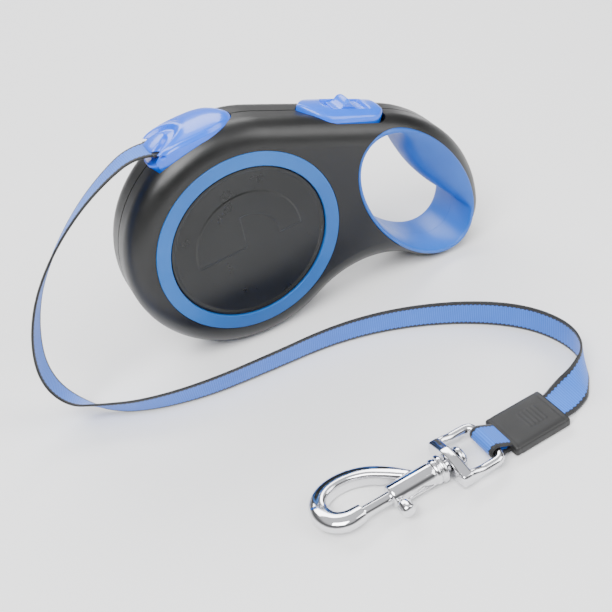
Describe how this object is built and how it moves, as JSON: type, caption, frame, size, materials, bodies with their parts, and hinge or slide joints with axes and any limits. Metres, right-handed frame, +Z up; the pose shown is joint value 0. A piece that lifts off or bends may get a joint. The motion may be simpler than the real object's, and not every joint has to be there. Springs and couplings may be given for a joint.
{
  "type": "retractable leash",
  "caption": "Retractable tape leash for walking pets: black casing with blue grip, thumb brake, sprung drum, and blue tape ending in a swivel snap.",
  "frame": {"origin": "on the surface it stands on, under the middle of the casing", "axes": "+X from the tape outlet towards the hand grip, +Y away from the side the free tape lies on, +Z up"},
  "size_m": [0.2345, 0.1685, 0.1175],
  "materials": {
    "shell_plastic": "satin black moulded casing",
    "ring_blue": "flat mid blue inlay",
    "disc_black": "black side disc, glossier bevel",
    "grip_blue": "soft blue grip lining",
    "trim_blue": "bright blue gloss moulding",
    "drum_plastic": "natural nylon drum",
    "spring_strip": "spring steel",
    "spring_plate": "plain steel plate",
    "axle_steel": "turned steel",
    "bush_brass": "turned brass bush",
    "screw_steel": "zinc plated screw",
    "tape_webbing": "woven blue tape with black edges",
    "sleeve_rubber": "dark grey moulded rubber",
    "snap_chrome": "polished chrome plate",
    "pawl_plastic": "glass-filled nylon"
  },
  "bodies": {
    "casing": {"near_shell": "shell_plastic", "far_shell": "shell_plastic", "far_grip_lining": "grip_blue", "near_grip_lining": "grip_blue", "near_ring_inlay": "ring_blue", "far_ring_inlay": "ring_blue", "near_side_disc": "disc_black", "far_side_disc": "disc_black", "axle": "axle_steel", "axle_screw": "screw_steel", "casing_screws": "screw_steel", "tape_lead": "tape_webbing", "tape_outlet": "trim_blue", "button_pin": "axle_steel", "button_spring": "spring_strip", "pawl_spring": "spring_strip", "free_tape": "tape_webbing", "tape_sleeve": "sleeve_rubber", "tape_loop": "tape_webbing"},
    "drum": {"drum": "drum_plastic", "drum_end_plate": "drum_plastic", "drum_screws": "screw_steel", "spring_cover": "spring_plate", "power_spring": "spring_strip", "wound_tape": "tape_webbing", "far_bush": "bush_brass", "near_bush": "bush_brass"},
    "brake_button": {"brake_button": "trim_blue"},
    "lock_slider": {"lock_slider": "trim_blue"},
    "brake_pawl": {"brake_pawl": "pawl_plastic"},
    "swivel_frame": {"swivel_frame": "snap_chrome"},
    "snap_body": {"snap_body": "snap_chrome", "snap_bolt_spring": "spring_strip"},
    "snap_bolt": {"snap_bolt": "snap_chrome"}
  },
  "joints": [
    {"name": "drum_spin", "type": "hinge", "parent": "casing", "child": "drum", "pos_m": [-0.03425, 0, 0.0564], "axis": [0, -1, 0], "range_deg": [-450, 6840]},
    {"name": "brake_button_press", "type": "hinge", "parent": "casing", "child": "brake_button", "pos_m": [0.00773, 0, 0.09598], "axis": [0, 1, 0], "range_deg": [0, 5], "stiffness_Nm_per_rad": 0.35, "springref_deg": -14.32, "deforming": ["button_spring"]},
    {"name": "brake_pawl_slide", "type": "slide", "parent": "casing", "child": "brake_pawl", "axis": [-0.8829, 0, -0.4695], "range_m": [0, 0.0014], "deforming": ["pawl_spring"]},
    {"name": "lock_slider_slide", "type": "slide", "parent": "brake_button", "child": "lock_slider", "axis": [-0.9376, 0, 0.3477], "range_m": [0, 0.004]},
    {"name": "swivel_frame_tilt", "type": "hinge", "parent": "casing", "child": "swivel_frame", "pos_m": [0.00725, -0.1368, 0.0057], "axis": [-0.0523, 0.9986, 0], "range_deg": [-80, 80]},
    {"name": "snap_swivel", "type": "hinge", "parent": "swivel_frame", "child": "snap_body", "pos_m": [0.00725, -0.1368, 0.0057], "axis": [0.9986, 0.0523, 0], "continuous": true},
    {"name": "snap_bolt_slide", "type": "slide", "parent": "snap_body", "child": "snap_bolt", "axis": [0.9986, 0.0523, 0], "range_m": [0, 0.008], "stiffness_N_per_m": 300, "springref_m": -0.006, "deforming": ["snap_bolt_spring"]}
  ],
  "couplings": [
    {"joint": "brake_pawl_slide", "follows": "brake_button_press", "m_per_rad": 0.01524}
  ]
}
